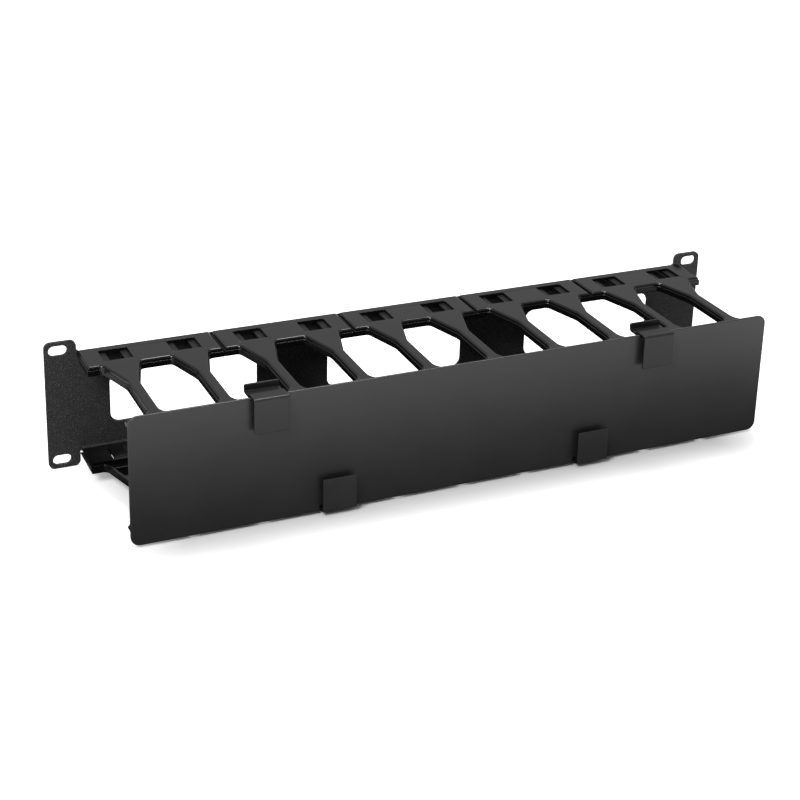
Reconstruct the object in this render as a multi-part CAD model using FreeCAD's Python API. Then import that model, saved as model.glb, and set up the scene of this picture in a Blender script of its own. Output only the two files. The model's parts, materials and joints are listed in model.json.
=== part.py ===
import FreeCAD, Part
import math
import os

# Horizontal cable manager, two rack units high, for a 19-inch rack.
# A folded steel panel carries two rows of moulded finger modules. A flat cover
# hangs on the bars at the finger tips by four snap latches.
# Millimetres. X runs along the rack width, Y into the rack, Z up.
# The origin is the middle of the face that meets the rack's rails.

# Panel
PANEL_W = 482.6            # overall width over the ears
PANEL_H = 88.1             # two rack units less the usual gap
SHEET_T = 2.0
EAR_W = 20.6
EAR_CORNER_R = 4.0
SLOT_TO_SIDE = 8.75        # slot's middle to the ear's outer edge
SLOT_TO_TOP = 5.95
SLOT_L = 12.0
SLOT_H = 6.8
BEND_R = 1.5               # inside radius of the folds
TAB_REACH = 24.3           # front edge of the folded tabs, from the panel's front face
EAR_TO_TABS = 1.1          # ear's inner edge to the end of the row of tabs
CUTOUTS = 3
CUTOUT_BRIDGE = 50.0       # web between two cutouts
CUTOUT_TO_END = 19.6       # outermost cutout to the end of the row of tabs
CUTOUT_H = 34.4
CUTOUT_R = 6.5

# Finger rows, which fill the width between the ears
MODULES_PER_ROW = 5
FINGERS_PER_MODULE = 2
MODULE_GAP = 1.0
TOP_ROW_DROP = 5.7         # panel's top edge to the top row's outer face
BOTTOM_ROW_RISE = 8.2      # panel's bottom edge to the bottom row's outer face

# Finger module, distances v forward from the panel's front face
MODULE_H = 6.0
PLATE_T = 1.8
WALL_T = 1.8
SPINE_BACK = 2.0
SPINE_FRONT = 32.2
ROOT_W = 24.4
ROOT_R = 3.0
TAPER_END = 59.0
TAPER_R = 14.0
ARM_W = 8.5
NECK_R = 9.3
LEDGE_IN = 0.6             # step in the side wall
LEDGE_DEPTH = 2.4          # of that step below the outer face
EDGE_R = 1.5
RIB_T = 1.2
RIB_FIRST = 36.5
RIB_PITCH = 22.5
RIBS = 3
RIB_RECESS = 1.0           # ribs stop short of the rim
END_TAPER_L = 9.0          # the end skirt rises to the plate over this length
SKIRT_CLEARANCE = 0.35     # end skirt to the panel's tab
WINDOW_TO_WALL = 0.3       # window's front edge to the wall across the spine
BAR_SOLID_T = 4.3          # closed depth of the fingers at the bar

# Bar across the finger's tip, a round bead with a thin web on its inner side
BAR_BACK = 107.3
BEAD_R = 2.25
BAR_GAP = 5.75             # free width between two fingers' bars
BAR_H = 8.3
BAR_WEB_T = 1.6

# Snap hook under each window
WINDOW_L = 18.8
WINDOW_BACK = 9.0
WINDOW_FRONT = 25.3
WINDOW_R = 0.8
TAB_HOLE_W = 9.4
TAB_HOLE_BACK = 6.8
TAB_HOLE_FRONT = 21.5
TAB_HOLE_R = 0.4
HOOK_SIDE_CLEARANCE = 0.2
HOOK_LIFT = 0.3            # free height under the tab
HOOK_T = 1.6
HOOK_REACH = 24.0
HOOK_TOE = 1.0

# Cover
COVER_TO_SIDE = 21.7       # cover's end to the ear's outer edge
COVER_TOP_DROP = 1.5       # below the panel's top edge
COVER_BOTTOM_RISE = 2.0    # above the panel's bottom edge
COVER_T = 1.8
COVER_GAP = 2.1            # free depth between the bars and the cover
COVER_CORNER_R = 6.0
NOTCH_SIDE_CLEARANCE = 0.4
NOTCH_R = 0.8

# Latch, drawn around the bead: p back, q outward
LATCH_W = 22.2
LATCH_T = 1.6
LATCH_OUT = 7.25           # outer face of the latch's plate from the bead's axis
LATCH_GRIP_H = 22.9
LATCH_STAND_OFF = 3.7      # grip plate's free depth in front of the cover
LATCH_CORNER_R = 1.2
FOLD_R = 1.6
STEP_R = 1.2
STEP_START = -1.8
FLOOR_OUT = 5.45           # outer face of the lower floor over the bead
FLOOR_START = -0.4
FLOOR_END = 7.3
LIP_FOOT_R = 1.2
LIP_BACK = 7.9
LIP_OUT = 9.3
HOOK_CLEARANCE = 0.3       # ring's inside to the bead
RING_T = 1.5
RING_W = 16.0
RING_NOSE_DROP = 0.35      # ring reaches this far past the bead's middle
RING_FRONT_ANGLE = 120.0
SEAT_DEPTH = 2.8           # notch's edge below the latch's outer face
SEAT_BACK_GAP = 0.4
SEAT_FRONT_GAP = 0.45
SEAT_RIB_T = 1.1
SEAT_RIB_OVERLAP = 1.7     # ribs reach this far past the notch's edge
SEAT_RIB_W = 20.2
TOP_LATCH_PITCHES = 3      # finger pitches from the middle, between two fingers
BOTTOM_LATCH_PITCHES = 2

TOLERANCE = 1e-6

# Worked out from the sizes above
SLOT_SPACING_X = PANEL_W - 2 * SLOT_TO_SIDE
SLOT_SPACING_Z = PANEL_H - 2 * SLOT_TO_TOP
SEAMS_PER_ROW = MODULES_PER_ROW - 1
TAB_GAP = MODULE_GAP + 2 * (WALL_T + SKIRT_CLEARANCE)
TAB_ROW_W = PANEL_W - 2 * (EAR_W + EAR_TO_TABS)
MODULE_PITCH = (TAB_ROW_W + TAB_GAP) / MODULES_PER_ROW
FINGER_PITCH = MODULE_PITCH / FINGERS_PER_MODULE
MODULE_W = MODULE_PITCH - MODULE_GAP
TAB_W = MODULE_PITCH - TAB_GAP
BAR_L = FINGER_PITCH - BAR_GAP
CUTOUT_W = (TAB_ROW_W - 2 * CUTOUT_TO_END - (CUTOUTS - 1) * CUTOUT_BRIDGE) / CUTOUTS
CUTOUT_PITCH = CUTOUT_W + CUTOUT_BRIDGE
TOP_FACE_Z = PANEL_H / 2 - TOP_ROW_DROP
BOTTOM_FACE_Z = -PANEL_H / 2 + BOTTOM_ROW_RISE
BAR_FRONT = BAR_BACK + 2 * BEAD_R
BEAD_V = BAR_BACK + BEAD_R
TOP_BEAD_Z = TOP_FACE_Z - BEAD_R
BOTTOM_BEAD_Z = BOTTOM_FACE_Z + BEAD_R
COVER_BACK = BAR_FRONT + COVER_GAP
COVER_FRONT = COVER_BACK + COVER_T
COVER_W = PANEL_W - 2 * COVER_TO_SIDE
COVER_TOP_Z = PANEL_H / 2 - COVER_TOP_DROP
COVER_BOTTOM_Z = -PANEL_H / 2 + COVER_BOTTOM_RISE
TAB_TOP_Z = TOP_FACE_Z - PLATE_T
TAB_BOTTOM_Z = BOTTOM_FACE_Z + PLATE_T
SKIRT_BACK_WALL = WINDOW_FRONT + WINDOW_TO_WALL
SEAT_OUT = LATCH_OUT - SEAT_DEPTH
TOP_LATCH_X = TOP_LATCH_PITCHES * FINGER_PITCH
BOTTOM_LATCH_X = BOTTOM_LATCH_PITCHES * FINGER_PITCH
LONG = 1000.0


def y_at(v):
    """Y of a point that lies v in front of the panel's front face."""
    return -SHEET_T - v


def vec(x, y, z=0.0):
    return FreeCAD.Vector(x, y, z)


def rounded_wire(corners):
    """Closed wire in the XY plane through (x, y, radius) corners."""
    count = len(corners)
    starts, ends, arcs = [], [], []
    for i in range(count):
        here = vec(*corners[i][:2])
        radius = corners[i][2]
        back = (vec(*corners[i - 1][:2]) - here).normalize()
        ahead = (vec(*corners[(i + 1) % count][:2]) - here).normalize()
        if radius <= 0:
            starts.append(here)
            ends.append(here)
            arcs.append(None)
            continue
        half = math.acos(max(-1.0, min(1.0, back.dot(ahead)))) / 2
        reach = radius / math.tan(half)
        middle = here + (back + ahead).normalize() * (radius / math.sin(half) - radius)
        starts.append(here + back * reach)
        ends.append(here + ahead * reach)
        arcs.append(middle)
    edges = []
    for i in range(count):
        if arcs[i] is not None:
            edges.append(Part.Arc(starts[i], arcs[i], ends[i]).toShape())
        following = starts[(i + 1) % count]
        if (following - ends[i]).Length > TOLERANCE:
            edges.append(Part.LineSegment(ends[i], following).toShape())
    return Part.Wire(edges)


def rounded_rectangle(x0, x1, y0, y1, radius):
    return rounded_wire([(x0, y0, radius), (x1, y0, radius), (x1, y1, radius), (x0, y1, radius)])


def stadium(x0, x1, y0, y1):
    """Wire with half-round ends at x0 and x1."""
    radius = (y1 - y0) / 2
    middle = (y0 + y1) / 2
    left, right = x0 + radius, x1 - radius
    return Part.Wire([
        Part.LineSegment(vec(left, y0), vec(right, y0)).toShape(),
        Part.Arc(vec(right, y0), vec(x1, middle), vec(right, y1)).toShape(),
        Part.LineSegment(vec(right, y1), vec(left, y1)).toShape(),
        Part.Arc(vec(left, y1), vec(x0, middle), vec(left, y0)).toShape(),
    ])


def prism(wire, z0, z1):
    """Solid of a wire in the XY plane, from z0 to z1."""
    face = Part.Face(wire)
    face.translate(vec(0, 0, z0))
    return face.extrude(vec(0, 0, z1 - z0))


def standing(solid):
    """Turns a prism drawn in XY so that its Y runs along Z and its Z towards -Y."""
    return solid.rotated(vec(0, 0, 0), vec(1, 0, 0), 90)


def box(x0, x1, y0, y1, z0, z1):
    return Part.makeBox(x1 - x0, y1 - y0, z1 - z0, vec(x0, y0, z0))


def row_positions(count, pitch):
    return [(i - (count - 1) / 2) * pitch for i in range(count)]


MODULE_XS = row_positions(MODULES_PER_ROW, MODULE_PITCH)
FINGER_US = row_positions(FINGERS_PER_MODULE, FINGER_PITCH)


def section_fold():
    """Panel's section between its ears, drawn in the YZ plane: web and two folded tabs."""
    outside = BEND_R + SHEET_T
    tip = y_at(TAB_REACH)
    corners = [
        (0, TAB_BOTTOM_Z, outside), (0, TAB_TOP_Z, outside),
        (tip, TAB_TOP_Z, 0), (tip, TAB_TOP_Z - SHEET_T, 0),
        (-SHEET_T, TAB_TOP_Z - SHEET_T, BEND_R), (-SHEET_T, TAB_BOTTOM_Z + SHEET_T, BEND_R),
        (tip, TAB_BOTTOM_Z + SHEET_T, 0), (tip, TAB_BOTTOM_Z, 0),
    ]
    return rounded_wire(corners)


def folded_strip():
    """The web with its tabs, which a gap at each module's seam keeps apart."""
    strip = Part.Face(section_fold()).extrude(vec(0, 0, TAB_ROW_W))
    # the section's first axis becomes Y and its second becomes Z
    turn = FreeCAD.Placement(vec(-TAB_ROW_W / 2, 0, 0), FreeCAD.Rotation(vec(1, 1, 1), 120))
    strip.Placement = turn
    fold_front = y_at(BEND_R)
    for seam in row_positions(SEAMS_PER_ROW, MODULE_PITCH):
        strip = strip.cut(box(seam - TAB_GAP / 2, seam + TAB_GAP / 2, -LONG, fold_front, -LONG, LONG))
    return strip


def panel_holes():
    holes = []
    for x in row_positions(CUTOUTS, CUTOUT_PITCH):
        outline = rounded_rectangle(x - CUTOUT_W / 2, x + CUTOUT_W / 2, -CUTOUT_H / 2, CUTOUT_H / 2, CUTOUT_R)
        holes.append(standing(prism(outline, -SHEET_T, 2 * SHEET_T)))
    for x in (-SLOT_SPACING_X / 2, SLOT_SPACING_X / 2):
        for z in (-SLOT_SPACING_Z / 2, SLOT_SPACING_Z / 2):
            outline = stadium(x - SLOT_L / 2, x + SLOT_L / 2, z - SLOT_H / 2, z + SLOT_H / 2)
            holes.append(standing(prism(outline, -SHEET_T, 2 * SHEET_T)))
    return holes


def tab_holes():
    """A hole for each finger's snap hook, through both rows of tabs."""
    holes = []
    for module_x in MODULE_XS:
        for u in FINGER_US:
            x = module_x + u
            outline = rounded_rectangle(x - TAB_HOLE_W / 2, x + TAB_HOLE_W / 2,
                                        y_at(TAB_HOLE_FRONT), y_at(TAB_HOLE_BACK), TAB_HOLE_R)
            holes.append(prism(outline, TAB_BOTTOM_Z - SHEET_T, TAB_TOP_Z + SHEET_T))
    return holes


def end_plate(side):
    """An ear and the flat sheet that joins it to the folded strip."""
    ear_out = side * PANEL_W / 2
    ear_in = side * (PANEL_W / 2 - EAR_W)
    strip_end = side * TAB_ROW_W / 2
    corners = [
        (strip_end, TAB_BOTTOM_Z, 0), (ear_in, TAB_BOTTOM_Z, 0),
        (ear_in, -PANEL_H / 2, EAR_CORNER_R), (ear_out, -PANEL_H / 2, EAR_CORNER_R),
        (ear_out, PANEL_H / 2, EAR_CORNER_R), (ear_in, PANEL_H / 2, EAR_CORNER_R),
        (ear_in, TAB_TOP_Z, 0), (strip_end, TAB_TOP_Z, 0),
    ]
    return standing(prism(rounded_wire(corners), 0, SHEET_T))


def rear_panel():
    panel = folded_strip().fuse([end_plate(-1), end_plate(1)]).removeSplitter()
    return panel.cut(panel_holes() + tab_holes())


def module_outline():
    """Plan of a module: the spine, and fingers that end in a block at the bar."""
    half_w = MODULE_W / 2
    block_half = ARM_W / 2 + NECK_R
    corners = [(-half_w, -SPINE_BACK, 0), (-half_w, -SPINE_FRONT, 0)]
    for u in FINGER_US:
        corners += [
            (u - ROOT_W / 2, -SPINE_FRONT, ROOT_R), (u - ARM_W / 2, -TAPER_END, TAPER_R),
            (u - ARM_W / 2, -BAR_BACK, NECK_R), (u - block_half, -BAR_BACK, 0),
            (u - block_half, -BAR_FRONT, 0), (u + block_half, -BAR_FRONT, 0),
            (u + block_half, -BAR_BACK, 0), (u + ARM_W / 2, -BAR_BACK, NECK_R),
            (u + ARM_W / 2, -TAPER_END, TAPER_R), (u + ROOT_W / 2, -SPINE_FRONT, ROOT_R),
        ]
    corners += [(half_w, -SPINE_FRONT, 0), (half_w, -SPINE_BACK, 0)]
    return rounded_wire(corners)


def inset(wire, distance):
    return Part.Face(wire).makeOffset2D(-distance, 2).OuterWire


def moulded_shell(outline):
    """Side walls with a small step, and a plate whose edge is rounded."""
    cap = prism(inset(outline, LEDGE_IN), -LEDGE_DEPTH, 0)
    rim = [e for e in cap.Edges if abs(e.BoundBox.ZMin) < TOLERANCE and abs(e.BoundBox.ZMax) < TOLERANCE]
    cap = cap.makeFillet(EDGE_R, rim)
    return cap.fuse(prism(outline, -MODULE_H, -LEDGE_DEPTH))


def finger_hollows(outline):
    """The open underside of the fingers, less the cross ribs."""
    hollow = prism(inset(outline, WALL_T), -MODULE_H, -PLATE_T)
    front = BAR_FRONT - BAR_SOLID_T
    hollow = hollow.common(box(-LONG, LONG, -front, -SKIRT_BACK_WALL - WALL_T, -LONG, LONG))
    ribs = []
    for i in range(RIBS):
        v = RIB_FIRST + i * RIB_PITCH
        ribs.append(box(-LONG, LONG, -v - RIB_T / 2, -v + RIB_T / 2, -MODULE_H + RIB_RECESS, 0))
    return hollow.cut(ribs)


def spine_relief():
    """Room for the panel's tab under the spine, and the sloped back of the end skirts."""
    half_w = MODULE_W / 2
    under = box(-half_w + WALL_T, half_w - WALL_T, -SKIRT_BACK_WALL, 0, -MODULE_H, -PLATE_T)
    taper_front = -SPINE_BACK - END_TAPER_L
    slope = Part.makePolygon([
        vec(-half_w, 0, -PLATE_T), vec(-half_w, -SPINE_BACK, -PLATE_T),
        vec(-half_w, taper_front, -MODULE_H), vec(-half_w, 0, -MODULE_H), vec(-half_w, 0, -PLATE_T),
    ])
    wedge = Part.Face(slope).extrude(vec(MODULE_W, 0, 0))
    return [under, wedge]


def window(u):
    outline = rounded_rectangle(u - WINDOW_L / 2, u + WINDOW_L / 2, -WINDOW_FRONT, -WINDOW_BACK, WINDOW_R)
    return prism(outline, -PLATE_T, 0)


def snap_hook(u):
    """Leg through the tab's hole at the window's back edge, and a foot under the tab."""
    half = TAB_HOLE_W / 2 - HOOK_SIDE_CLEARANCE
    back = -TAB_HOLE_BACK - HOOK_SIDE_CLEARANCE
    foot_top = -PLATE_T - SHEET_T - HOOK_LIFT
    foot_bottom = foot_top - HOOK_T
    profile = Part.makePolygon([
        vec(u - half, back, -PLATE_T), vec(u - half, back, foot_bottom),
        vec(u - half, -HOOK_REACH + HOOK_TOE, foot_bottom),
        vec(u - half, -HOOK_REACH, foot_bottom + HOOK_TOE), vec(u - half, -HOOK_REACH, foot_top),
        vec(u - half, -WINDOW_BACK, foot_top), vec(u - half, -WINDOW_BACK, -PLATE_T),
        vec(u - half, back, -PLATE_T),
    ])
    return Part.Face(profile).extrude(vec(2 * half, 0, 0))


def tip_bar(u):
    """Bead and its thin web along the front, both within half-round ends."""
    left, right = u - BAR_L / 2, u + BAR_L / 2
    bead = Part.makeCylinder(BEAD_R, BAR_L, vec(left, -BEAD_V, -BEAD_R), vec(1, 0, 0))
    web = box(left, right, -BAR_FRONT, -BAR_FRONT + BAR_WEB_T, -BAR_H, -BEAD_R)
    rounded = prism(stadium(left, right, -BAR_H, 0), BAR_BACK, BAR_FRONT)
    return bead.fuse(web).common(standing(rounded))


def finger_module():
    """One moulding, drawn with its outer face at Z 0 and its open side down."""
    outline = module_outline()
    body = moulded_shell(outline)
    body = body.cut([finger_hollows(outline)] + spine_relief() + [window(u) for u in FINGER_US])
    body = body.fuse([tip_bar(u) for u in FINGER_US] + [snap_hook(u) for u in FINGER_US])
    return body.removeSplitter().translated(vec(0, -SHEET_T, 0))


def cover_outline():
    """Front view of the cover with a notch at each latch."""
    half_w = COVER_W / 2
    notch_half = LATCH_W / 2 + NOTCH_SIDE_CLEARANCE
    top_floor = TOP_BEAD_Z + SEAT_OUT
    bottom_floor = BOTTOM_BEAD_Z - SEAT_OUT
    corners = [(-half_w, COVER_BOTTOM_Z, COVER_CORNER_R)]
    for x in (-BOTTOM_LATCH_X, BOTTOM_LATCH_X):
        corners += [
            (x - notch_half, COVER_BOTTOM_Z, NOTCH_R), (x - notch_half, bottom_floor, NOTCH_R),
            (x + notch_half, bottom_floor, NOTCH_R), (x + notch_half, COVER_BOTTOM_Z, NOTCH_R),
        ]
    corners += [(half_w, COVER_BOTTOM_Z, COVER_CORNER_R), (half_w, COVER_TOP_Z, COVER_CORNER_R)]
    for x in (TOP_LATCH_X, -TOP_LATCH_X):
        corners += [
            (x + notch_half, COVER_TOP_Z, NOTCH_R), (x + notch_half, top_floor, NOTCH_R),
            (x - notch_half, top_floor, NOTCH_R), (x - notch_half, COVER_TOP_Z, NOTCH_R),
        ]
    corners.append((-half_w, COVER_TOP_Z, COVER_CORNER_R))
    return rounded_wire(corners)


def cover():
    plate = standing(prism(cover_outline(), 0, COVER_T))
    return plate.translated(vec(0, y_at(COVER_BACK), 0))


def offset_path(path, distance):
    """Open path of (p, q, radius) corners moved sideways, to the left of its run."""
    points = [vec(p, q) for p, q, _ in path]
    normals = []
    for a, b in zip(points, points[1:]):
        run = (b - a).normalize()
        normals.append(vec(-run.y, run.x))
    moved = []
    for i, (_, _, radius) in enumerate(path):
        if i == 0 or i == len(path) - 1:
            point = points[i] + normals[min(i, len(normals) - 1)] * distance
            moved.append((point.x, point.y, 0))
            continue
        n0, n1 = normals[i - 1], normals[i]
        point = points[i] + (n0 + n1) * (distance / (1 + n0.dot(n1)))
        turns_left = n0.x * n1.y - n0.y * n1.x > 0
        moved.append((point.x, point.y, radius - distance if turns_left else radius + distance))
    return moved


def latch_strip():
    """The bent strip: grip plate, top plate, lower floor over the bead and upright lip."""
    half = LATCH_T / 2
    grip_p = -(COVER_FRONT - BEAD_V) - LATCH_STAND_OFF - half
    plate_q = LATCH_OUT - half
    floor_q = FLOOR_OUT - half
    path = [
        (grip_p, LATCH_OUT - LATCH_GRIP_H, 0), (grip_p, plate_q, FOLD_R),
        (STEP_START, plate_q, STEP_R), (FLOOR_START, floor_q, STEP_R),
        (FLOOR_END, floor_q, LIP_FOOT_R), (LIP_BACK, LIP_OUT, 0),
    ]
    one_side = offset_path(path, half)
    other_side = offset_path(path, -half)
    strip = prism(rounded_wire(one_side + other_side[::-1]), -LATCH_W / 2, LATCH_W / 2)
    ends = []
    for edge in strip.Edges:
        middle = edge.CenterOfMass
        across = edge.BoundBox.ZLength < TOLERANCE and abs(edge.Length - LATCH_T) < TOLERANCE
        at_end = abs(middle.y - LIP_OUT) < LATCH_T or middle.y < LATCH_OUT - LATCH_GRIP_H + LATCH_T
        if across and at_end:
            ends.append(edge)
    return strip.makeFillet(LATCH_CORNER_R, ends)


def latch_ring():
    """Part ring around the bead, which hooks just past its middle."""
    inner = BEAD_R + HOOK_CLEARANCE
    outer = inner + RING_T
    centre = vec(0, 0, -RING_W / 2)
    ring = Part.makeCylinder(outer, RING_W, centre).cut(Part.makeCylinder(inner, RING_W, centre))
    front = math.radians(RING_FRONT_ANGLE)
    reach = 2 * outer
    keep = Part.makePolygon([
        vec(0, -RING_NOSE_DROP), vec(reach, -RING_NOSE_DROP), vec(reach, reach),
        vec(reach * math.cos(front), reach), vec(reach * math.cos(front), reach * math.sin(front)),
        vec(0, 0), vec(0, -RING_NOSE_DROP),
    ])
    return ring.common(prism(keep, -RING_W / 2, RING_W / 2))


def latch_seat_ribs():
    """Two ribs that straddle the cover's edge in its notch."""
    sheet_back = -(COVER_BACK - BEAD_V)
    sheet_front = sheet_back - COVER_T
    low = SEAT_OUT - SEAT_RIB_OVERLAP
    half = SEAT_RIB_W / 2
    high = LATCH_OUT - LATCH_T / 2
    back_rib = box(sheet_back + SEAT_BACK_GAP, sheet_back + SEAT_BACK_GAP + SEAT_RIB_T,
                   low, high, -half, half)
    front_rib = box(sheet_front - SEAT_FRONT_GAP - SEAT_RIB_T, sheet_front - SEAT_FRONT_GAP,
                    low, high, -half, half)
    return [back_rib, front_rib]


def latch():
    """The latch around a bead that lies along X, with q turned up and p to the back."""
    body = latch_strip().fuse([latch_ring()] + latch_seat_ribs()).removeSplitter()
    upright = FreeCAD.Placement(vec(0, 0, 0), FreeCAD.Rotation(vec(1, 1, 1), 120))
    body.Placement = upright
    return body


def turned_over(shape):
    """The same moulding upside down, left for right."""
    return shape.rotated(vec(0, 0, 0), vec(0, 1, 0), 180)


def build():
    nodes = {"rear_panel": rear_panel(), "cover": cover()}
    module = finger_module()
    upside_down = turned_over(module)
    for i, x in enumerate(MODULE_XS, start=1):
        nodes["top_finger_module_%d" % i] = module.translated(vec(x, 0, TOP_FACE_Z))
        nodes["bottom_finger_module_%d" % i] = upside_down.translated(vec(x, 0, BOTTOM_FACE_Z))
    clip = latch()
    upside_down_clip = turned_over(clip)
    bead_y = y_at(BEAD_V)
    for side, word in ((-1, "left"), (1, "right")):
        nodes["top_latch_" + word] = clip.translated(vec(side * TOP_LATCH_X, bead_y, TOP_BEAD_Z))
        nodes["bottom_latch_" + word] = upside_down_clip.translated(
            vec(side * BOTTOM_LATCH_X, bead_y, BOTTOM_BEAD_Z))
    return nodes


def main():
    os.makedirs("parts", exist_ok=True)
    for name, shape in build().items():
        shape.exportStep(os.path.join("parts", name + ".step"))
        print(name, "valid" if shape.isValid() else "NOT VALID", len(shape.Solids), "solid",
              round(shape.Volume, 1), "mm3")


main()
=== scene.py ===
"""Horizontal cable manager for a 19-inch rack: surfaces, finishes and studio around the frame."""

import json
import math

import bmesh
import bpy
import numpy as np
from bpy.props import FloatProperty, FloatVectorProperty, PointerProperty
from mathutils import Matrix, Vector


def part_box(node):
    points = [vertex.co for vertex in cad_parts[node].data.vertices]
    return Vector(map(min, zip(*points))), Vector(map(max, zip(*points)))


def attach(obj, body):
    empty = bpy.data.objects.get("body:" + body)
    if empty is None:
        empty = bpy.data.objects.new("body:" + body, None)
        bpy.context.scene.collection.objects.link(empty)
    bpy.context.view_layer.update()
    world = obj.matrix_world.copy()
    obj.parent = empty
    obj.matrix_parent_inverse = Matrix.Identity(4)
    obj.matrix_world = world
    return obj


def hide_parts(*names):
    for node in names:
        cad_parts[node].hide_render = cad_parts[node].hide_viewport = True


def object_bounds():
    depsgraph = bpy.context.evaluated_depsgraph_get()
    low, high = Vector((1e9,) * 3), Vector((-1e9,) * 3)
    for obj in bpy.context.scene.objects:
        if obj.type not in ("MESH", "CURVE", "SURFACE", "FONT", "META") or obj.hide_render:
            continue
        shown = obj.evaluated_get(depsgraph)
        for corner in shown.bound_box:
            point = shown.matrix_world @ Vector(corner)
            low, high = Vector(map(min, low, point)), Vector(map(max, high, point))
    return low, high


bl_info = {
    "name": "Horizontal Cable Manager",
    "version": (1, 1, 0),
    "blender": (4, 5, 0),
    "location": "3D View > Sidebar > Cable Manager",
    "description": "Builds the surfaces, finishes and studio of a rack cable manager",
    "category": "Object",
}

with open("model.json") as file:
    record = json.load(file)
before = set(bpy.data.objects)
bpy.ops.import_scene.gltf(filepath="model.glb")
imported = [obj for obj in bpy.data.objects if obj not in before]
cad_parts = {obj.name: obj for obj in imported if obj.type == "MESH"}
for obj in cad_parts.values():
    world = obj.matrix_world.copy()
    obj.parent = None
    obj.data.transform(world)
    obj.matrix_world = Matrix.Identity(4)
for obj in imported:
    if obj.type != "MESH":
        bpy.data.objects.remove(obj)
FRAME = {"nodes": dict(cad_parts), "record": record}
CAD_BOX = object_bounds()
BODY_OF = {node: body for body, nodes in FRAME["record"]["behaviour"]["bodies"].items()
           for node in nodes}
MM = 0.001
RIGHT_ANGLE = math.pi / 2

# Merged copies of CAD nodes
MERGE = 0.002 * MM
FLAT = math.radians(0.3)
SHARP = math.radians(35.0)
EDGE_ROUND_SEGMENTS = 2

# Steps of the computed surfaces
ARC_STEPS = 9
EDGE_STEPS = 5
END_STEPS = 10
RING_STEPS = 27

ROWS = ("top", "bottom")
MODULES_PER_ROW = 5

# Cover
COVER_LOW, COVER_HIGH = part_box("cover")
COVER_CORNER_R = 6.0 * MM
NOTCH_R = 0.8 * MM
NOTCH_HALF = 11.5 * MM
TOP_NOTCH_Z = 40.55 * MM
BOTTOM_NOTCH_Z = -38.05 * MM

# Places of the latches and of the beads that they hold
TOP_LATCH_X = 133.35 * MM
BOTTOM_LATCH_X = 88.9 * MM
BEAD_Y = -111.55 * MM
TOP_BEAD_Z = 36.1 * MM
BOTTOM_BEAD_Z = -33.6 * MM
# Node, middle, height of the bead, and 1 where the latch points up or -1 where it points down
LATCHES = (
    ("top_latch_left", -TOP_LATCH_X, TOP_BEAD_Z, 1),
    ("top_latch_right", TOP_LATCH_X, TOP_BEAD_Z, 1),
    ("bottom_latch_left", -BOTTOM_LATCH_X, BOTTOM_BEAD_Z, -1),
    ("bottom_latch_right", BOTTOM_LATCH_X, BOTTOM_BEAD_Z, -1),
)

# Form of a latch around its bead, in millimetres: p runs back and q outwards
LATCH_W = 22.2
LATCH_T = 1.6
STRIP_CORNERS = (
    (-10.65, -15.65, 0.0), (-10.65, 6.45, 1.0), (-1.8, 6.45, 1.2),
    (-0.4, 4.65, 1.2), (7.3, 4.65, 1.2), (7.9, 9.3, 0.0),
)
RING_R = 3.3
RING_T = 1.5
RING_W = 16.0
RING_ARC = (math.radians(-6.1), math.radians(120.0))
SEAT_RIBS_P = (-7.15, -3.4)
SEAT_RIB_Q = (2.75, 6.45)
SEAT_RIB_T = 1.1
SEAT_RIB_W = 20.2

# Powder coat
NOISE_SPAN = (0.3, 0.7)                     # where most values of a noise lie
SPECK_SPAN = (0.53, 0.7)                    # grains on which the colour is painted paler, as glints
COAT_ROUGHNESS = (0.55, 0.35)               # between the grains and on them
COAT_SPECULAR = 0.35
COAT_GRAIN_BUMP = (0.15 * MM, 0.9)          # distance and strength
COAT_WAVES = 120.0                          # per metre
COAT_WAVE_BUMP = (0.4 * MM, 0.1)
# Painted shade: share of the colour left on the folded tabs, and the depths between which it falls
# to that
PAINTED_TAB_SHADE = (0.1, -2.5 * MM, -4.0 * MM)

# Moulded plastics, with waves per metre
FLOW_WAVES = 45.0
FLOW_DETAIL = 3.0
FLOW_TINT = 0.12
FLOW_ROUGHNESS = 0.015
GRAIN_DEPTH = 0.05 * MM
FINGER_PLASTIC = {"specular": 0.55, "grain_waves": 2200.0, "grain_strength": 0.12}
COVER_PLASTIC = {"specular": 1.0, "grain_waves": 3000.0, "grain_strength": 0.08}
# The latches carry painted shade behind their faces, for the dark gap around them
LATCH_PLASTIC = {"specular": 0.52, "grain_waves": 2600.0, "grain_strength": 0.06,
                 "painted_gap_shade": (0.15, -122.7 * MM, -122.3 * MM)}

# Colour sockets of a Mix node
MIX_FIRST = 6
MIX_SECOND = 7
MIX_RESULT = 2

# Floor, with lengths in metres
FLOOR_REACH = 6.0
FLOOR_WHITE = 0.86
FLOOR_ROUGHNESS = 0.9
FLOOR_SPECULAR = 0.1
RIM_WIDTH = 0.06            # dark rim that the camera sees beside the object: its real shadow, with painted shade where the glow fades
RIM_INSET = 0.035           # how far inside the object's ends that rim starts to fade
RIM_GLOW = (0.0, 0.8)       # glow at the rim's start and past it
GLOSS_FADE = 0.185          # distance over which gloss sees the floor darken, as a painted shadow
GLOSS_GLOW = (0.1, 1.25)    # what gloss sees beside the object and away from it
GLOSS_PACE = 3.0            # power with which it grows
GLOSS_BEHIND = 0.25         # how far that shade reaches behind the panel
UNDER_SHARE = 0.1           # share of it left under the object
UNDER_FADE = 0.004          # distance over which the rest comes back

# Room
ROOM_LEAN = (0.4, 1.0, 0.7)     # it is brightest behind and above
ROOM_FADE = (-0.2, 0.8)
ROOM_FRONT = 0.5                # share of its strength left in front

# Lights, in metres, and camera
OVERHEAD_PLACE = (0.25, 0.35, 1.4)
OVERHEAD_SIZE = 0.6
FRONT_LEFT_PLACE = (-0.95, -0.8, 1.1)
FRONT_LEFT_SIZE = 0.55
SENSOR_WIDTH = 36.0
CLIP_START = 0.01
CLIP_END = 50.0


# Sizes and colours that a user may change

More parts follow.
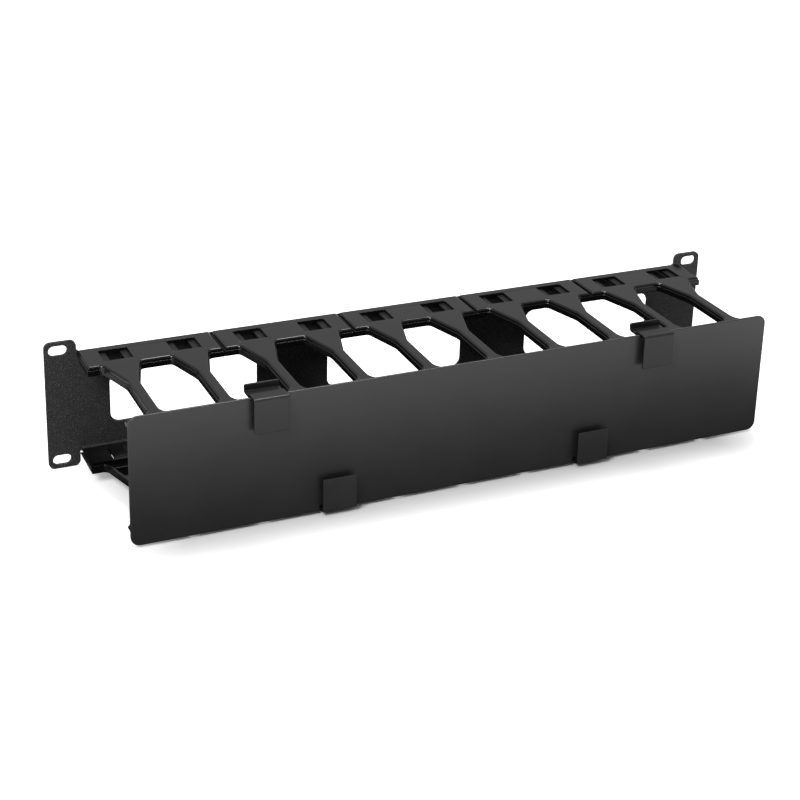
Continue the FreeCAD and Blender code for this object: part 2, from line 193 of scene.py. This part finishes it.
class PanelSettings(bpy.types.PropertyGroup):
    colour: FloatVectorProperty(
        name="Paint Colour", description="Colour of the powder coat",
        default=(0.028, 0.028, 0.0287), size=3, subtype="COLOR", min=0.0, max=1.0)
    grain: FloatProperty(
        name="Grain Size", description="Distance between the powder coat's bumps",
        default=0.7 * MM, min=0.0001, unit="LENGTH", precision=5)
    # Painted glint: the highest bumps of the coat are painted this many times paler, for light
    # glinting on them
    painted_glint: FloatProperty(
        name="Glint", description="How many times paler the highest bumps are",
        default=4.0, min=1.0)


class FingerSettings(bpy.types.PropertyGroup):
    edge_round: FloatProperty(
        name="Edge Round", description="Radius of the moulding's small edges",
        default=0.19 * MM, min=0.0, unit="LENGTH", precision=5)
    colour: FloatVectorProperty(
        name="Plastic Colour", description="Colour of the moulded fingers",
        default=(0.004, 0.004, 0.0043), size=3, subtype="COLOR", min=0.0, max=1.0)
    roughness: FloatProperty(
        name="Roughness", description="Middle roughness of the moulded fingers",
        default=0.18, min=0.0, max=1.0, subtype="FACTOR")


class CoverSettings(bpy.types.PropertyGroup):
    edge_round: FloatProperty(
        name="Edge Round", description="Radius of the cover's edges",
        default=0.5 * MM, min=0.0, unit="LENGTH", precision=5)
    colour: FloatVectorProperty(
        name="Cover Colour", description="Colour of the cover's plastic",
        default=(0.014, 0.014, 0.0145), size=3, subtype="COLOR", min=0.0, max=1.0)
    roughness: FloatProperty(
        name="Roughness", description="Middle roughness of the cover's face",
        default=0.4, min=0.0, max=1.0, subtype="FACTOR")


class LatchSettings(bpy.types.PropertyGroup):
    edge_round: FloatProperty(
        name="Edge Round", description="Radius of the latches' long edges",
        default=0.35 * MM, min=0.0, unit="LENGTH", precision=5)
    corner_round: FloatProperty(
        name="Corner Round", description="Radius of the grip plate's and the lip's corners",
        default=1.2 * MM, min=0.0, unit="LENGTH", precision=5)
    colour: FloatVectorProperty(
        name="Latch Colour", description="Colour of the latches' plastic",
        default=(0.024, 0.024, 0.0246), size=3, subtype="COLOR", min=0.0, max=1.0)
    roughness: FloatProperty(
        name="Roughness", description="Middle roughness of the latches",
        default=0.38, min=0.0, max=1.0, subtype="FACTOR")


class StageSettings(bpy.types.PropertyGroup):
    camera_place: FloatVectorProperty(
        name="Camera Place", description="Where the camera stands",
        default=(-0.4513, -1.0018, 0.4920), size=3, subtype="TRANSLATION")
    camera_turn: FloatVectorProperty(
        name="Camera Turn", description="The camera's rotation about X, Y and Z",
        default=(math.radians(69.559), math.radians(-1.525), math.radians(-23.779)),
        size=3, subtype="EULER")
    lens: FloatProperty(
        name="Lens", description="Focal length in millimetres on a 36 mm sensor",
        default=78.604, min=1.0, unit="CAMERA")
    shift: FloatProperty(
        name="Vertical Shift", description="The camera's vertical shift, in widths of the frame",
        default=-0.2)
    room_light: FloatProperty(
        name="Room Light", description="Strength of the white surroundings",
        default=0.45, min=0.0)
    overhead_power: FloatProperty(
        name="Overhead Power", description="Power of the soft light above",
        default=12.0, min=0.0, unit="POWER")
    side_power: FloatProperty(
        name="Side Power", description="Power of the small soft light at the front left",
        default=17.0, min=0.0, unit="POWER")


# Finishes

def new_material(name):
    material = bpy.data.materials.new(name)
    material.use_nodes = True
    return material, material.node_tree.nodes, material.node_tree.links


def math_node(nodes, links, operation, first, second=None):
    """A Math node's result, from sockets or numbers."""
    node = nodes.new("ShaderNodeMath")
    node.operation = operation
    for socket, value in zip(node.inputs, (first, second)):
        if isinstance(value, bpy.types.NodeSocket):
            links.new(value, socket)
        elif value is not None:
            socket.default_value = value
    return node.outputs["Value"]


def object_axes(nodes, links):
    """X, Y and Z in object space, as sockets."""
    place = nodes.new("ShaderNodeTexCoord")
    axes = nodes.new("ShaderNodeSeparateXYZ")
    links.new(place.outputs["Object"], axes.inputs["Vector"])
    return axes.outputs


def noise(nodes, links, waves, detail=2.0):
    """Noise in object space, with so many waves per metre."""
    place = nodes.new("ShaderNodeTexCoord")
    texture = nodes.new("ShaderNodeTexNoise")
    texture.inputs["Scale"].default_value = waves
    texture.inputs["Detail"].default_value = detail
    links.new(place.outputs["Object"], texture.inputs["Vector"])
    return texture.outputs["Fac"]


def spread(nodes, links, source, low, high, name, start, end):
    """Goes from low to high as the source goes from start to end."""
    ranged = nodes.new("ShaderNodeMapRange")
    ranged.label = name
    ranged.inputs["From Min"].default_value = start
    ranged.inputs["From Max"].default_value = end
    ranged.inputs["To Min"].default_value = low
    ranged.inputs["To Max"].default_value = high
    links.new(source, ranged.inputs["Value"])
    return ranged.outputs["Result"]


def scaled(colour, factor):
    """The colour times the factor, as RGBA."""
    return [*(channel * factor for channel in colour), 1]


def colours_between(nodes, links, source, start, end, first, last):
    """Goes from the first RGBA colour to the last one as the source goes from start to end."""
    ramp = nodes.new("ShaderNodeValToRGB")
    for element, place, colour in zip(ramp.color_ramp.elements, (start, end), (first, last)):
        element.position = place
        element.color = colour
    links.new(source, ramp.inputs["Fac"])
    return ramp.outputs["Color"]


def bump(nodes, links, source, distance, strength, before=None):
    """Normals bumped by the source, on top of the bumps before it."""
    node = nodes.new("ShaderNodeBump")
    node.inputs["Distance"].default_value = distance
    node.inputs["Strength"].default_value = strength
    links.new(source, node.inputs["Height"])
    if before is not None:
        links.new(before, node.inputs["Normal"])
    return node.outputs["Normal"]


def painted_shade_along_y(nodes, links, colour, pale, dark_share, start, end):
    """Painted shade: the pale socket's colour up to Y start, and the dark share of the colour from
    Y end on.
    """
    depth = spread(nodes, links, object_axes(nodes, links)["Y"], 0.0, 1.0, "Depth", start, end)
    mix = nodes.new("ShaderNodeMix")
    mix.data_type = "RGBA"
    links.new(depth, mix.inputs["Factor"])
    links.new(pale, mix.inputs[MIX_FIRST])
    mix.inputs[MIX_SECOND].default_value = scaled(colour, dark_share)
    return mix.outputs[MIX_RESULT]


def powder_coat(settings):
    """Black textured powder coat: fine bumps, with painted glints: the few that stand highest are
    paler in colour.

    The folded tabs carry painted shade: they are darkened to stand for the deep shade inside the
    modules' windows.
    """
    material, nodes, links = new_material("Textured powder coat")
    shader = nodes["Principled BSDF"]
    grains = noise(nodes, links, 1.0 / settings.grain)
    waves = noise(nodes, links, COAT_WAVES)
    # Painted glints: paler colour on the grains that stand highest
    painted_glint_colour = colours_between(nodes, links, grains, *SPECK_SPAN, scaled(settings.colour, 1.0),
                               scaled(settings.colour, settings.painted_glint))
    # Painted shade on the folded tabs
    links.new(painted_shade_along_y(nodes, links, settings.colour, painted_glint_colour, *PAINTED_TAB_SHADE),
              shader.inputs["Base Color"])
    links.new(spread(nodes, links, grains, *COAT_ROUGHNESS, "Grain roughness", *NOISE_SPAN),
              shader.inputs["Roughness"])
    orange_peel = bump(nodes, links, waves, *COAT_WAVE_BUMP)
    links.new(bump(nodes, links, grains, *COAT_GRAIN_BUMP, orange_peel), shader.inputs["Normal"])
    shader.inputs["Specular IOR Level"].default_value = COAT_SPECULAR
    return material


def moulded_plastic(name, settings, specular, grain_waves, grain_strength, painted_gap_shade=None):
    """Black moulded plastic: soft gloss, faint flow variation and a fine grain.

    Painted gap shade is the share of the colour that is left behind the piece's face, and the two
    depths between which it changes. It is painted shade that stands for the dark gap around that
    face.
    """
    material, nodes, links = new_material(name)
    shader = nodes["Principled BSDF"]
    flow = noise(nodes, links, FLOW_WAVES, FLOW_DETAIL)
    grain = noise(nodes, links, grain_waves)
    colour = colours_between(nodes, links, flow, *NOISE_SPAN,
                             scaled(settings.colour, 1 - FLOW_TINT),
                             scaled(settings.colour, 1 + FLOW_TINT))
    # Painted shade behind the piece's face
    if painted_gap_shade:
        colour = painted_shade_along_y(nodes, links, settings.colour, colour, *painted_gap_shade)
    links.new(colour, shader.inputs["Base Color"])
    links.new(spread(nodes, links, flow, settings.roughness - FLOW_ROUGHNESS,
                     settings.roughness + FLOW_ROUGHNESS, "Flow roughness", *NOISE_SPAN),
              shader.inputs["Roughness"])
    links.new(bump(nodes, links, grain, GRAIN_DEPTH, grain_strength), shader.inputs["Normal"])
    shader.inputs["Specular IOR Level"].default_value = specular
    return material


def pale_floor():
    """White floor. The camera sees it brighter, with a glow that fades into a painted darker rim
    over the real shadow near the object; gloss sees a painted shadow that darkens it towards the
    object.
    """
    material, nodes, links = new_material("Pale floor")
    shader = nodes["Principled BSDF"]
    shader.inputs["Base Color"].default_value = (FLOOR_WHITE, FLOOR_WHITE, FLOOR_WHITE, 1)
    shader.inputs["Roughness"].default_value = FLOOR_ROUGHNESS
    shader.inputs["Specular IOR Level"].default_value = FLOOR_SPECULAR
    shader.inputs["Emission Color"].default_value = (1, 1, 1, 1)
    ray = nodes.new("ShaderNodeLightPath")
    axes = object_axes(nodes, links)

    def calculated(operation, first, second=None):
        return math_node(nodes, links, operation, first, second)

    def squared_gap(axis, low, high):
        """Square of how far a point lies outside low to high along an axis."""
        from_middle = calculated("ABSOLUTE", calculated("SUBTRACT", axes[axis], (low + high) / 2))
        outside = calculated("SUBTRACT", from_middle, (high - low) / 2)
        return calculated("POWER", calculated("MAXIMUM", outside, 0.0), 2.0)

    def distance(x_gap, y_gap):
        return calculated("SQRT", calculated("ADD", x_gap, y_gap))

    left, right, front, back = COVER_LOW[0], COVER_HIGH[0], COVER_LOW[1], CAD_BOX[1][1]
    # Painted darker rim: the camera's glow fades towards the object, over the floor's real shadow
    from_rim = distance(squared_gap("X", left + RIM_INSET, right - RIM_INSET),
                        squared_gap("Y", front, back))
    rim = spread(nodes, links, from_rim, *RIM_GLOW, "Dark rim", 0.0, RIM_WIDTH)
    links.new(calculated("MULTIPLY", ray.outputs["Is Camera Ray"], rim),
              shader.inputs["Emission Strength"])

    # Painted shadow that only gloss sees: the floor darkens towards the object and under it
    from_shade = distance(squared_gap("X", left, right),
                          squared_gap("Y", front, GLOSS_BEHIND))
    open_floor = spread(nodes, links, calculated("POWER", from_shade, GLOSS_PACE), *GLOSS_GLOW,
                        "Shade beside the object", 0.0, GLOSS_FADE ** GLOSS_PACE)
    uncovered = spread(nodes, links, from_shade, UNDER_SHARE, 1.0,
                       "Shade under the object", 0.0, UNDER_FADE)
    for_gloss = nodes.new("ShaderNodeEmission")
    links.new(calculated("MULTIPLY", open_floor, uncovered), for_gloss.inputs["Strength"])

    mix = nodes.new("ShaderNodeMixShader")
    links.new(ray.outputs["Is Glossy Ray"], mix.inputs["Fac"])
    links.new(shader.outputs["BSDF"], mix.inputs[1])
    links.new(for_gloss.outputs["Emission"], mix.inputs[2])
    links.new(mix.outputs["Shader"], nodes["Material Output"].inputs["Surface"])
    return material


# Surfaces

def aim(headings):
    """Unit vectors along the headings."""
    return np.stack([np.cos(headings), np.sin(headings)], axis=-1)


def left_of(headings):
    """Unit vectors a right angle to the left of the headings."""
    return np.stack([-np.sin(headings), np.cos(headings)], axis=-1)


def bent_path(corners):
    """Points and headings along straight runs joined by arcs.

    At each inner corner (a, b, radius) the heading turns evenly from one run's to the next one's,
    and the point is the arc's centre plus or minus the radius times the left of the heading.
    """
    corners = np.array(corners, dtype=float)
    places, radii = corners[:, :2], corners[1:-1, 2]
    runs = np.diff(places, axis=0)
    headings = np.unwrap(np.arctan2(runs[:, 1], runs[:, 0]))
    turns = np.diff(headings)
    sides = np.sign(turns) * radii
    starts = places[1:-1] - aim(headings[:-1]) * (radii * np.tan(np.abs(turns) / 2))[:, None]
    centres = starts + left_of(headings[:-1]) * sides[:, None]
    angles = headings[:-1, None] + turns[:, None] * np.linspace(0.0, 1.0, ARC_STEPS)
    arcs = centres[:, None] - left_of(angles) * sides[:, None, None]
    points = np.vstack([places[:1], arcs.reshape(-1, 2), places[-1:]])
    return points, np.concatenate([headings[:1], angles.ravel(), headings[-1:]])


def grid_faces(rows, columns, first):
    """Quads of a grid whose last column meets its first, and a lid on its first and last row."""
    ids = first + np.arange(rows * columns).reshape(rows, columns)
    beside = np.roll(ids, -1, axis=1)
    quads = np.stack([ids[:-1], beside[:-1], beside[1:], ids[1:]], axis=-1).reshape(-1, 4)
    return quads.tolist() + [ids[0, ::-1].tolist(), ids[-1].tolist()]


def edged_plate(corners, front, back, edge):
    """Plate in the XZ plane: its rounded edge's profile carried around its outline.

    Around the edge, an angle runs from 0 at the front face to pi at the back one. The outline moves
    inwards by the edge's radius times one less its sine, and the depth follows its cosine.
    """
    outline, headings = bent_path(corners)
    outline, inwards = outline[:-1], left_of(headings[:-1])
    angle = np.concatenate([np.linspace(0.0, RIGHT_ANGLE, EDGE_STEPS),
                            np.linspace(RIGHT_ANGLE, math.pi, EDGE_STEPS)])
    inset = edge * (1 - np.sin(angle))
    middle = np.repeat([front + edge, back - edge], EDGE_STEPS)
    depth = middle - edge * np.cos(angle)
    flat = outline[None] + inwards[None] * inset[:, None, None]
    rows = np.broadcast_to(depth[:, None], flat.shape[:2])
    points = np.stack([flat[..., 0], rows, flat[..., 1]], axis=-1)
    return points.reshape(-1, 3), grid_faces(len(angle), len(outline), 0)


def carried_bar(points, headings, width, thickness, corner, edge, first):
    """Flat bar carried along a path of p and q, as rows of (x, p, q).

    Across the path lies a rectangle with rounded edges. Near both ends it narrows by a quarter
    circle of the corner's radius and thins by one of the edge's, so that its ends are round too.
    """
    turn = np.linspace(0.0, RIGHT_ANGLE, END_STEPS)
    along = corner * (1 - np.cos(turn))
    narrowing = corner * (1 - np.sin(turn))
    thinning = edge - np.sqrt(edge ** 2 - np.maximum(edge - along, 0.0) ** 2)
    centres = np.vstack([points[0] + along[:, None] * aim(headings[0]), points[1:-1],
                         points[-1] - along[::-1, None] * aim(headings[-1])])
    lefts = left_of(np.concatenate([np.full(END_STEPS, headings[0]), headings[1:-1],
                                    np.full(END_STEPS, headings[-1])]))
    plain = np.zeros(len(points) - 2)
    narrowing = np.concatenate([narrowing, plain, narrowing[::-1]])
    thinning = np.concatenate([thinning, plain, thinning[::-1]])
    around = np.concatenate([np.linspace(i * RIGHT_ANGLE, (i + 1) * RIGHT_ANGLE, EDGE_STEPS)
                             for i in range(4)])
    side_x = np.repeat([1, -1, -1, 1], EDGE_STEPS)
    side_n = np.repeat([1, 1, -1, -1], EDGE_STEPS)
    x = side_x * (width / 2 - edge - narrowing[:, None]) + edge * np.cos(around)
    out = side_n * (thickness / 2 - edge - thinning[:, None]) + edge * np.sin(around)
    section = centres[:, None] + lefts[:, None] * out[..., None]
    grid = np.concatenate([x[..., None], section], axis=-1)
    return grid.reshape(-1, 3), grid_faces(len(centres), len(around), first)


def cover_corners():
    """The cover's outline seen from the front, from the middle of its lower edge and back there."""
    left, low = COVER_LOW[0], COVER_LOW[2]
    right, high = COVER_HIGH[0], COVER_HIGH[2]
    notches = []
    for rim, floor, xs, way in ((low, BOTTOM_NOTCH_Z, (-BOTTOM_LATCH_X, BOTTOM_LATCH_X), 1),
                                (high, TOP_NOTCH_Z, (TOP_LATCH_X, -TOP_LATCH_X), -1)):
        for x in xs:
            enter, leave = x - way * NOTCH_HALF, x + way * NOTCH_HALF
            notches.append([(enter, rim, NOTCH_R), (enter, floor, NOTCH_R),
                            (leave, floor, NOTCH_R), (leave, rim, NOTCH_R)])
    middle = (0.0, low, 0.0)
    return [middle, *notches[1], (right, low, COVER_CORNER_R), (right, high, COVER_CORNER_R),
            *notches[2], *notches[3], (left, high, COVER_CORNER_R), (left, low, COVER_CORNER_R),
            *notches[0], middle]


def latch_form(settings):
    """One latch as rows of (x, p, q): its bent strip, the part ring on the bead and two ribs."""
    edge = settings.edge_round / MM
    corner = settings.corner_round / MM
    ring_angle = np.linspace(*RING_ARC, RING_STEPS)
    ring_path = RING_R * aim(ring_angle), ring_angle + RIGHT_ANGLE
    bars = [(bent_path(STRIP_CORNERS), LATCH_W, LATCH_T, corner),
            (ring_path, RING_W, RING_T, edge)]
    for p in SEAT_RIBS_P:
        rib_path = np.array([(p, q) for q in SEAT_RIB_Q]), np.full(2, RIGHT_ANGLE)
        bars.append((rib_path, SEAT_RIB_W, SEAT_RIB_T, edge))
    points, faces, count = [], [], 0
    for (path, headings), width, thickness, end_corner in bars:
        bar, bar_faces = carried_bar(path, headings, width, thickness, end_corner, edge, count)
        points.append(bar)
        faces += bar_faces
        count += len(bar)
    return np.vstack(points), faces


# Pieces

def dress(node, material):
    """Gives a CAD node its finish."""
    slots = FRAME["nodes"][node].data.materials
    slots.clear()
    slots.append(material)


def place_piece(name, node, mesh, material):
    """An object that stands for a node, on the node's body."""
    mesh.shade_smooth()
    mesh.materials.append(material)
    piece = bpy.data.objects.new(name, mesh)
    bpy.context.collection.objects.link(piece)
    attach(piece, BODY_OF[node])
    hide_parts(node)
    return piece


def keep_faces_flat(piece):
    piece.modifiers.new("Flat Faces", "WEIGHTED_NORMAL")


def new_piece(name, node, points, faces, material):
    """A computed surface that stands for a node, with faces that point outwards."""
    mesh = bpy.data.meshes.new(name)
    mesh.from_pydata(points.tolist(), [], faces)
    form = bmesh.new()
    form.from_mesh(mesh)
    bmesh.ops.remove_doubles(form, verts=form.verts, dist=MERGE)
    bmesh.ops.recalc_face_normals(form, faces=form.faces)
    form.to_mesh(mesh)
    form.free()
    keep_faces_flat(place_piece(name, node, mesh, material))


def softened(name, node, material, radius):
    """A merged copy of a CAD node whose sharp edges are rounded, which stands for that node."""
    mesh = bpy.data.meshes.new(name)
    form = bmesh.new()
    form.from_mesh(FRAME["nodes"][node].data)
    bmesh.ops.remove_doubles(form, verts=form.verts, dist=MERGE)
    bmesh.ops.dissolve_limit(form, angle_limit=FLAT, verts=form.verts, edges=form.edges)
    bmesh.ops.triangulate(form, faces=form.faces)
    form.to_mesh(mesh)
    form.free()
    piece = place_piece(name, node, mesh, material)
    rounding = piece.modifiers.new("Edge Round", "BEVEL")
    rounding.width = radius
    rounding.segments = EDGE_ROUND_SEGMENTS
    rounding.limit_method = "ANGLE"
    rounding.angle_limit = SHARP
    rounding.use_clamp_overlap = False
    keep_faces_flat(piece)


# Stage

def white_room(scene, strength):
    """White surroundings: full white for the camera, softer and dim in front for the object."""
    world = scene.world or bpy.data.worlds.new("Studio")
    scene.world = world
    world.use_nodes = True
    nodes, links = world.node_tree.nodes, world.node_tree.links
    nodes.clear()
    ray = nodes.new("ShaderNodeLightPath")
    mix = nodes.new("ShaderNodeMixShader")
    links.new(ray.outputs["Is Camera Ray"], mix.inputs["Fac"])
    backdrops = []
    for slot in (1, 2):
        backdrop = nodes.new("ShaderNodeBackground")
        backdrop.inputs["Color"].default_value = (1, 1, 1, 1)
        links.new(backdrop.outputs["Background"], mix.inputs[slot])
        backdrops.append(backdrop)

    direction = nodes.new("ShaderNodeTexCoord")
    lean = nodes.new("ShaderNodeVectorMath")
    lean.operation = "DOT_PRODUCT"
    lean.inputs[1].default_value = ROOM_LEAN
    links.new(direction.outputs["Generated"], lean.inputs[0])
    links.new(spread(nodes, links, lean.outputs["Value"], strength * ROOM_FRONT, strength,
                     "Dim front", *ROOM_FADE), backdrops[0].inputs["Strength"])
    out = nodes.new("ShaderNodeOutputWorld")
    links.new(mix.outputs["Shader"], out.inputs["Surface"])


def add_area_light(name, place, target, size, power):
    light = bpy.data.lights.new(name, "AREA")
    light.shape = "SQUARE"
    light.size = size
    light.energy = power
    holder = bpy.data.objects.new(name, light)
    bpy.context.collection.objects.link(holder)
    holder.location = place
    holder.rotation_euler = (Vector(target) - Vector(place)).to_track_quat("-Z", "Y").to_euler()


def add_floor(height):
    corners = [(x * FLOOR_REACH, y * FLOOR_REACH, height)
               for x, y in ((-1, -1), (1, -1), (1, 1), (-1, 1))]
    mesh = bpy.data.meshes.new("floor")
    mesh.from_pydata(corners, [], [(0, 1, 2, 3)])
    mesh.materials.append(pale_floor())
    floor = bpy.data.objects.new("floor", mesh)
    bpy.context.collection.objects.link(floor)


def add_camera(scene, settings):
    camera = bpy.data.objects.new("camera", bpy.data.cameras.new("camera"))
    bpy.context.collection.objects.link(camera)
    camera.location = settings.camera_place
    camera.rotation_euler = settings.camera_turn
    camera.data.lens = settings.lens
    camera.data.sensor_width = SENSOR_WIDTH
    camera.data.shift_y = settings.shift
    camera.data.clip_start = CLIP_START
    camera.data.clip_end = CLIP_END
    scene.camera = camera


# Steps

class BuildPanel(bpy.types.Operator):
    """Paint the folded steel panel"""
    bl_idname = "cable_manager.build_panel"
    bl_label = "Rear Panel"

    def execute(self, context):
        dress("rear_panel", powder_coat(context.scene.cable_panel))
        return {"FINISHED"}


class BuildFingers(bpy.types.Operator):
    """Round and finish the ten finger modules"""
    bl_idname = "cable_manager.build_fingers"
    bl_label = "Finger Modules"

    def execute(self, context):
        settings = context.scene.cable_fingers
        plastic = moulded_plastic("Moulded finger plastic", settings, **FINGER_PLASTIC)
        for row in ROWS:
            for i in range(1, MODULES_PER_ROW + 1):
                softened("%s_fingers_%d" % (row, i), "%s_finger_module_%d" % (row, i), plastic,
                         settings.edge_round)
        return {"FINISHED"}


class BuildCover(bpy.types.Operator):
    """Compute the cover's plate with its four notches"""
    bl_idname = "cable_manager.build_cover"
    bl_label = "Cover"

    def execute(self, context):
        settings = context.scene.cable_cover
        plastic = moulded_plastic("Satin cover plastic", settings, **COVER_PLASTIC)
        points, faces = edged_plate(cover_corners(), COVER_LOW[1], COVER_HIGH[1],
                                    settings.edge_round)
        new_piece("cover_plate", "cover", points, faces, plastic)
        return {"FINISHED"}


class BuildLatches(bpy.types.Operator):
    """Compute the four snap latches"""
    bl_idname = "cable_manager.build_latches"
    bl_label = "Latches"

    def execute(self, context):
        settings = context.scene.cable_latches
        plastic = moulded_plastic("Moulded latch plastic", settings, **LATCH_PLASTIC)
        form, faces = latch_form(settings)
        for node, x, bead_z, way in LATCHES:
            points = np.array([x, BEAD_Y, bead_z]) + form * MM * np.array([way, 1, way])
            new_piece(node.replace("latch", "clip"), node, points, faces, plastic)
        return {"FINISHED"}


class BuildStage(bpy.types.Operator):
    """Make the pale floor, the soft studio light and the camera"""
    bl_idname = "cable_manager.build_stage"
    bl_label = "Stage"

    def execute(self, context):
        scene = context.scene
        settings = scene.cable_stage
        low, high = CAD_BOX
        centre = [(a + b) / 2 for a, b in zip(low, high)]
        add_floor(low[2])
        white_room(scene, settings.room_light)
        add_area_light("overhead", OVERHEAD_PLACE, centre, OVERHEAD_SIZE, settings.overhead_power)
        add_area_light("front_left", FRONT_LEFT_PLACE, centre, FRONT_LEFT_SIZE,
                       settings.side_power)
        add_camera(scene, settings)
        scene.view_settings.view_transform = "Standard"
        return {"FINISHED"}


class CABLEMANAGER_PT_build(bpy.types.Panel):
    """Lists the steps in the sidebar"""
    bl_idname = "CABLEMANAGER_PT_build"
    bl_label = "Cable Manager"
    bl_space_type = "VIEW_3D"
    bl_region_type = "UI"
    bl_category = "Cable Manager"

    def draw(self, context):
        for operator in OPERATORS:
            self.layout.operator(operator.bl_idname)


OPERATORS = (BuildPanel, BuildFingers, BuildCover, BuildLatches, BuildStage)
CLASSES = OPERATORS + (CABLEMANAGER_PT_build,)
GROUPS = (
    ("cable_panel", PanelSettings), ("cable_fingers", FingerSettings),
    ("cable_cover", CoverSettings), ("cable_latches", LatchSettings),
    ("cable_stage", StageSettings),
)


def register():
    for name, group in GROUPS:
        bpy.utils.register_class(group)
        setattr(bpy.types.Scene, name, PointerProperty(type=group))
    for cls in CLASSES:
        bpy.utils.register_class(cls)


def unregister():
    for cls in reversed(CLASSES):
        bpy.utils.unregister_class(cls)
    for name, group in reversed(GROUPS):
        delattr(bpy.types.Scene, name)
        bpy.utils.unregister_class(group)


def main():
    register()
    bpy.ops.cable_manager.build_panel()
    bpy.ops.cable_manager.build_fingers()
    bpy.ops.cable_manager.build_cover()
    bpy.ops.cable_manager.build_latches()
    bpy.ops.cable_manager.build_stage()


if __name__ == "__main__":
    main()
